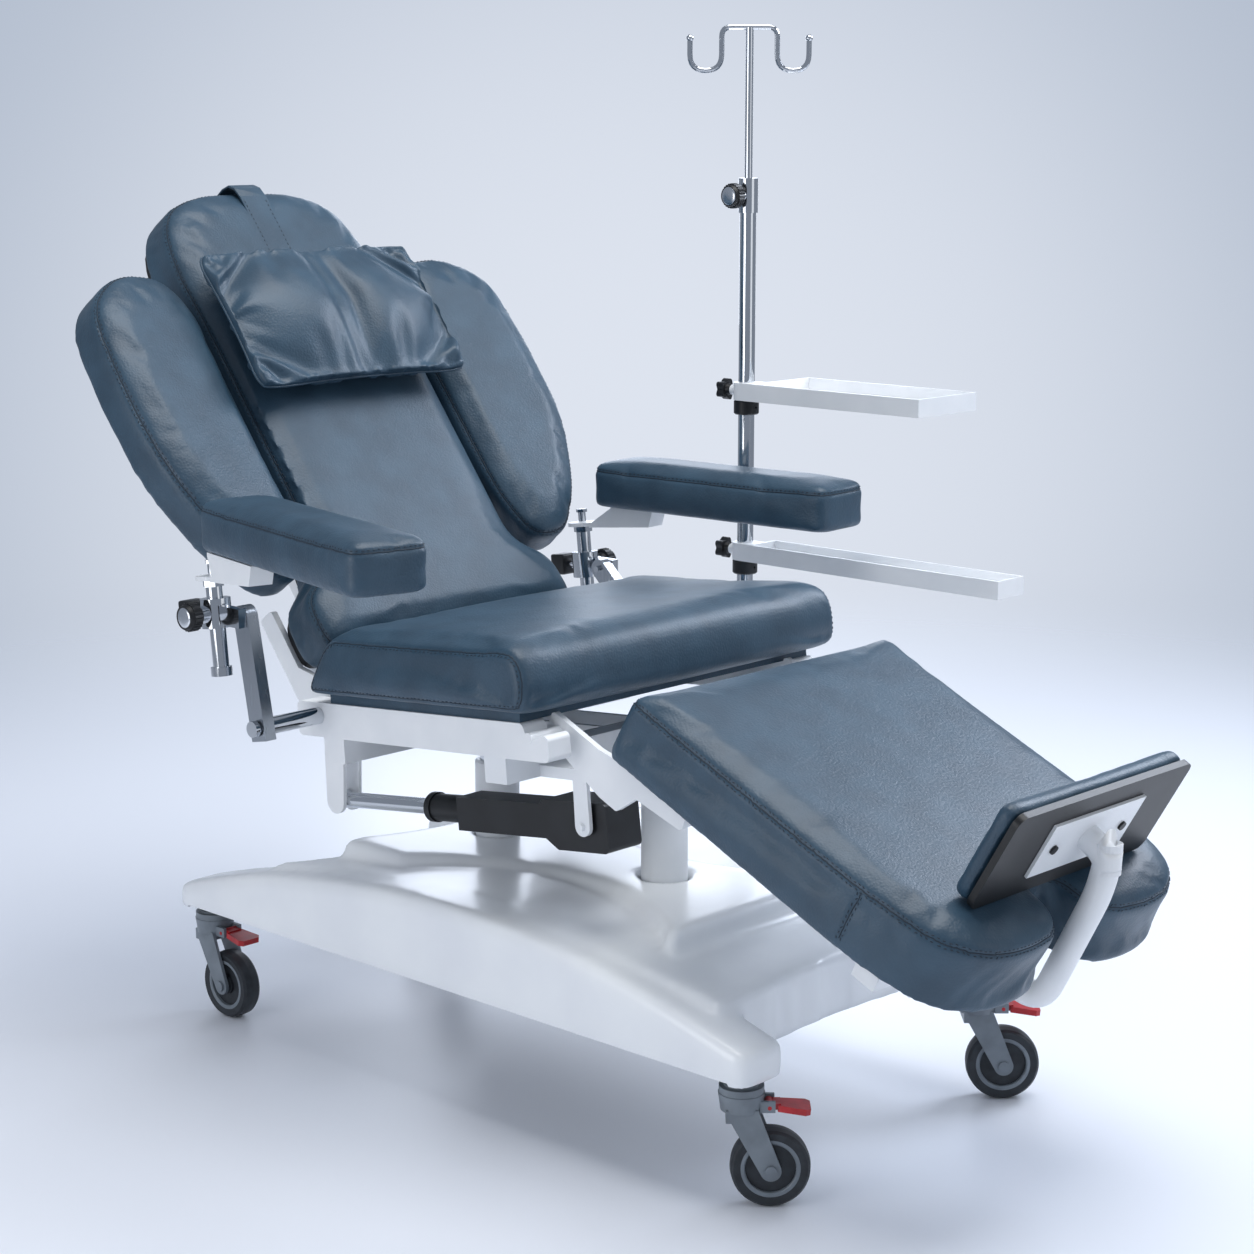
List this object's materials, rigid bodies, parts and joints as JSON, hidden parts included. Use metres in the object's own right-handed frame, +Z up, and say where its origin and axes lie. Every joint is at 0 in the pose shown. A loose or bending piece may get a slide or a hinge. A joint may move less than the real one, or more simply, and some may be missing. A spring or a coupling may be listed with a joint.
{
  "type": "therapy chair",
  "caption": "Powered therapy chair with tilting seat, reclining padded back, side wings, split legrest with footplate, swinging armrests, infusion pole and trays on a wheeled moulded base.",
  "frame": {"origin": "on the floor under the middle of the whole chair's box, all wheels standing on the floor", "axes": "+Z up, the patient faces -Y, the patient's left hand and the infusion pole are at +X"},
  "size_m": [1.1708, 1.6773, 1.45],
  "materials": {
    "cover": "smooth moulded shell",
    "chassis": "satin",
    "white_frame": "white powder coat",
    "chromed": "polished",
    "fork_grey": "satin grey",
    "wheel_rubber": "matt",
    "pedal_red": "satin",
    "board": "dull",
    "back_panel": "fine grain",
    "hide": "soft artificial leather",
    "black": "satin black"
  },
  "bodies": {
    "base": {"base_cover": "cover", "base_frame": "chassis", "column_tubes": "white_frame"},
    "lift": {"ram_rear": "chromed"},
    "front_lift": {"ram_front": "chromed"},
    "seat": {"rail_left": "white_frame", "rail_right": "white_frame", "subframe": "white_frame", "back_axle": "chromed", "seat_board": "board", "seat_cushion": "hide", "pole": "chromed"},
    "backrest": {"back_frame": "white_frame", "back_board": "back_panel", "back_cushion": "hide", "wing_left": "hide", "wing_right": "hide", "pillow_strap": "hide"},
    "head_pillow": {"pillow": "hide"},
    "back_motor": {"back_drive": "black"},
    "back_push_rod": {"back_drive_rod": "chromed"},
    "leg_motor": {"leg_drive": "black"},
    "leg_push_rod": {"leg_drive_rod": "chromed"},
    "legrest": {"leg_frame": "white_frame", "leg_cushion": "hide"},
    "footrest": {"foot_stem": "white_frame", "foot_panel": "back_panel", "foot_pad": "hide"},
    "front_right_caster": {"fork_front_right": "fork_grey"},
    "front_right_roller": {"wheel_front_right": "wheel_rubber"},
    "front_right_brake": {"pedal_front_right": "pedal_red"},
    "front_left_caster": {"fork_front_left": "fork_grey"},
    "front_left_roller": {"wheel_front_left": "wheel_rubber"},
    "front_left_brake": {"pedal_front_left": "pedal_red"},
    "rear_right_caster": {"fork_rear_right": "fork_grey"},
    "rear_right_roller": {"wheel_rear_right": "wheel_rubber"},
    "rear_right_brake": {"pedal_rear_right": "pedal_red"},
    "rear_left_caster": {"fork_rear_left": "fork_grey"},
    "rear_left_roller": {"wheel_rear_left": "wheel_rubber"},
    "rear_left_brake": {"pedal_rear_left": "pedal_red"},
    "right_arm": {"arm_bar_right": "chromed"},
    "right_clamp": {"arm_clamp_right": "chromed"},
    "right_height_knob": {"arm_knob_right": "black"},
    "right_post": {"arm_post_right": "chromed"},
    "right_armrest": {"arm_bracket_right": "white_frame", "arm_pad_right": "hide"},
    "left_arm": {"arm_bar_left": "chromed"},
    "left_clamp": {"arm_clamp_left": "chromed"},
    "left_height_knob": {"arm_knob_left": "black"},
    "left_post": {"arm_post_left": "chromed"},
    "left_armrest": {"arm_bracket_left": "white_frame", "arm_pad_left": "hide"},
    "hook_rod": {"pole_rod": "chromed"},
    "pole_clamp_knob": {"pole_knob": "black"},
    "upper_sleeve": {"upper_collar": "white_frame"},
    "upper_shelf": {"upper_tray": "white_frame"},
    "upper_lock": {"upper_knob": "black"},
    "lower_sleeve": {"lower_collar": "white_frame"},
    "lower_shelf": {"lower_tray": "white_frame"},
    "lower_lock": {"lower_knob": "black"}
  },
  "joints": [
    {"name": "front_right_swivel", "type": "hinge", "parent": "base", "child": "front_right_caster", "pos_m": [-0.3016, -0.46859, 0.16], "axis": [0, 0, 1], "continuous": true},
    {"name": "front_right_roll", "type": "hinge", "parent": "front_right_caster", "child": "front_right_roller", "pos_m": [-0.27705, -0.49492, 0.05], "axis": [0.7314, 0.682, 0], "continuous": true},
    {"name": "front_right_pedal", "type": "hinge", "parent": "front_right_caster", "child": "front_right_brake", "pos_m": [-0.27841, -0.49346, 0.13], "axis": [0.7314, 0.682, 0], "range_deg": [0, 12]},
    {"name": "front_left_swivel", "type": "hinge", "parent": "base", "child": "front_left_caster", "pos_m": [0.1884, -0.46859, 0.16], "axis": [0, 0, 1], "continuous": true},
    {"name": "front_left_roll", "type": "hinge", "parent": "front_left_caster", "child": "front_left_roller", "pos_m": [0.21295, -0.49492, 0.05], "axis": [0.7314, 0.682, 0], "continuous": true},
    {"name": "front_left_pedal", "type": "hinge", "parent": "front_left_caster", "child": "front_left_brake", "pos_m": [0.21159, -0.49346, 0.13], "axis": [0.7314, 0.682, 0], "range_deg": [0, 12]},
    {"name": "rear_right_swivel", "type": "hinge", "parent": "base", "child": "rear_right_caster", "pos_m": [-0.3016, 0.56541, 0.16], "axis": [0, 0, 1], "continuous": true},
    {"name": "rear_right_roll", "type": "hinge", "parent": "rear_right_caster", "child": "rear_right_roller", "pos_m": [-0.3016, 0.52941, 0.05], "axis": [1, 0, 0], "continuous": true},
    {"name": "rear_right_pedal", "type": "hinge", "parent": "rear_right_caster", "child": "rear_right_brake", "pos_m": [-0.3016, 0.53141, 0.13], "axis": [1, 0, 0], "range_deg": [0, 12]},
    {"name": "rear_left_swivel", "type": "hinge", "parent": "base", "child": "rear_left_caster", "pos_m": [0.1884, 0.56541, 0.16], "axis": [0, 0, 1], "continuous": true},
    {"name": "rear_left_roll", "type": "hinge", "parent": "rear_left_caster", "child": "rear_left_roller", "pos_m": [0.16385, 0.59174, 0.05], "axis": [-0.7314, -0.682, 0], "continuous": true},
    {"name": "rear_left_pedal", "type": "hinge", "parent": "rear_left_caster", "child": "rear_left_brake", "pos_m": [0.16521, 0.59028, 0.13], "axis": [-0.7314, -0.682, 0], "range_deg": [0, 12]},
    {"name": "height", "type": "slide", "parent": "base", "child": "lift", "axis": [0, 0, 1], "range_m": [0, 0.18]},
    {"name": "front_height", "type": "slide", "parent": "lift", "child": "front_lift", "axis": [0, 0, 1], "range_m": [-0.032, 0.075]},
    {"name": "tilt", "type": "hinge", "parent": "lift", "child": "seat", "pos_m": [-0.0566, 0.21141, 0.44], "axis": [-1, 0, 0], "range_deg": [-3, 12]},
    {"name": "recline", "type": "hinge", "parent": "seat", "child": "backrest", "pos_m": [-0.0566, 0.26222, 0.50841], "axis": [1, 0, 0], "range_deg": [-50, 8]},
    {"name": "pillow_height", "type": "slide", "parent": "backrest", "child": "head_pillow", "axis": [0, 0.6157, 0.788], "range_m": [-0.03, 0.04]},
    {"name": "back_motor_turn", "type": "hinge", "parent": "seat", "child": "back_motor", "pos_m": [-0.2396, -0.17812, 0.42045], "axis": [1, 0, 0], "range_deg": [-12, 12]},
    {"name": "back_push", "type": "slide", "parent": "back_motor", "child": "back_push_rod", "axis": [0, 0.9921, -0.1255], "range_m": [-0.15, 0.04]},
    {"name": "legrest_turn", "type": "hinge", "parent": "seat", "child": "legrest", "pos_m": [-0.0566, -0.14821, 0.54432], "axis": [-1, 0, 0], "range_deg": [-8, 24.5]},
    {"name": "leg_motor_turn", "type": "hinge", "parent": "seat", "child": "leg_motor", "pos_m": [0.0534, 0.19121, 0.40822], "axis": [-1, 0, 0], "range_deg": [-12, 12]},
    {"name": "leg_push", "type": "slide", "parent": "leg_motor", "child": "leg_push_rod", "axis": [0, -0.9934, 0.115], "range_m": [-0.045, 0.06]},
    {"name": "footrest_reach", "type": "slide", "parent": "legrest", "child": "footrest", "axis": [0, -0.91, -0.4147], "range_m": [0, 0.1]},
    {"name": "right_arm_turn", "type": "hinge", "parent": "seat", "child": "right_arm", "pos_m": [-0.4446, 0.26222, 0.50841], "axis": [1, 0, 0], "range_deg": [-10, 16]},
    {"name": "right_clamp_turn", "type": "hinge", "parent": "right_arm", "child": "right_clamp", "pos_m": [-0.4446, 0.29122, 0.65762], "axis": [1, 0, 0], "range_deg": [-10, 10]},
    {"name": "right_post_height", "type": "slide", "parent": "right_clamp", "child": "right_post", "axis": [0, 0.1045, 0.9945], "range_m": [-0.012, 0.05]},
    {"name": "right_knob_turn", "type": "hinge", "parent": "right_clamp", "child": "right_height_knob", "pos_m": [-0.4566, 0.33922, 0.65762], "axis": [-1, 0, 0], "range_deg": [-180, 180]},
    {"name": "right_pad_swing", "type": "hinge", "parent": "right_post", "child": "right_armrest", "pos_m": [-0.4566, 0.33922, 0.65762], "axis": [0, 0.1045, 0.9945], "range_deg": [-40, 12]},
    {"name": "left_arm_turn", "type": "hinge", "parent": "seat", "child": "left_arm", "pos_m": [0.3314, 0.26222, 0.50841], "axis": [1, 0, 0], "range_deg": [-4, 24]},
    {"name": "left_clamp_turn", "type": "hinge", "parent": "left_arm", "child": "left_clamp", "pos_m": [0.3314, 0.37156, 0.614], "axis": [1, 0, 0], "range_deg": [-10, 10]},
    {"name": "left_post_height", "type": "slide", "parent": "left_clamp", "child": "left_post", "axis": [0, 0.1045, 0.9945], "range_m": [-0.028, 0.034]},
    {"name": "left_knob_turn", "type": "hinge", "parent": "left_clamp", "child": "left_height_knob", "pos_m": [0.3434, 0.41956, 0.614], "axis": [1, 0, 0], "range_deg": [-180, 180]},
    {"name": "left_pad_swing", "type": "hinge", "parent": "left_post", "child": "left_armrest", "pos_m": [0.3434, 0.41956, 0.614], "axis": [0, 0.1045, 0.9945], "range_deg": [-12, 4]},
    {"name": "rod_height", "type": "slide", "parent": "seat", "child": "hook_rod", "axis": [0, 0, 1], "range_m": [-0.1, 0.2]},
    {"name": "pole_knob_turn", "type": "hinge", "parent": "seat", "child": "pole_clamp_knob", "pos_m": [0.4634, 0.18841, 1.196], "axis": [-1, 0, 0], "range_deg": [-180, 180]},
    {"name": "upper_sleeve_height", "type": "slide", "parent": "seat", "child": "upper_sleeve", "axis": [0, 0, 1], "range_m": [-0.08, 0.2]},
    {"name": "upper_tray_swing", "type": "hinge", "parent": "upper_sleeve", "child": "upper_shelf", "pos_m": [0.4634, 0.18841, 0.898], "axis": [0, 0, 1], "range_deg": [-20, 90]},
    {"name": "upper_lock_turn", "type": "hinge", "parent": "upper_shelf", "child": "upper_lock", "pos_m": [0.4634, 0.22841, 0.8975], "axis": [0, 1, 0], "range_deg": [-180, 180]},
    {"name": "lower_sleeve_height", "type": "slide", "parent": "seat", "child": "lower_sleeve", "axis": [0, 0, 1], "range_m": [-0.05, 0.03]},
    {"name": "lower_tray_swing", "type": "hinge", "parent": "lower_sleeve", "child": "lower_shelf", "pos_m": [0.4634, 0.18841, 0.648], "axis": [0, 0, 1], "range_deg": [-8, 80]},
    {"name": "lower_lock_turn", "type": "hinge", "parent": "lower_shelf", "child": "lower_lock", "pos_m": [0.4634, 0.22841, 0.6475], "axis": [0, 1, 0], "range_deg": [-180, 180]}
  ],
  "couplings": [
    {"joint": "front_height", "follows": "tilt", "m_per_rad": 0.3385},
    {"joint": "back_motor_turn", "follows": "recline", "ratio": 0.086},
    {"joint": "back_push", "follows": "recline", "m_per_rad": 0.1591},
    {"joint": "leg_motor_turn", "follows": "legrest_turn", "ratio": 0.1513},
    {"joint": "leg_push", "follows": "legrest_turn", "m_per_rad": 0.0882}
  ]
}
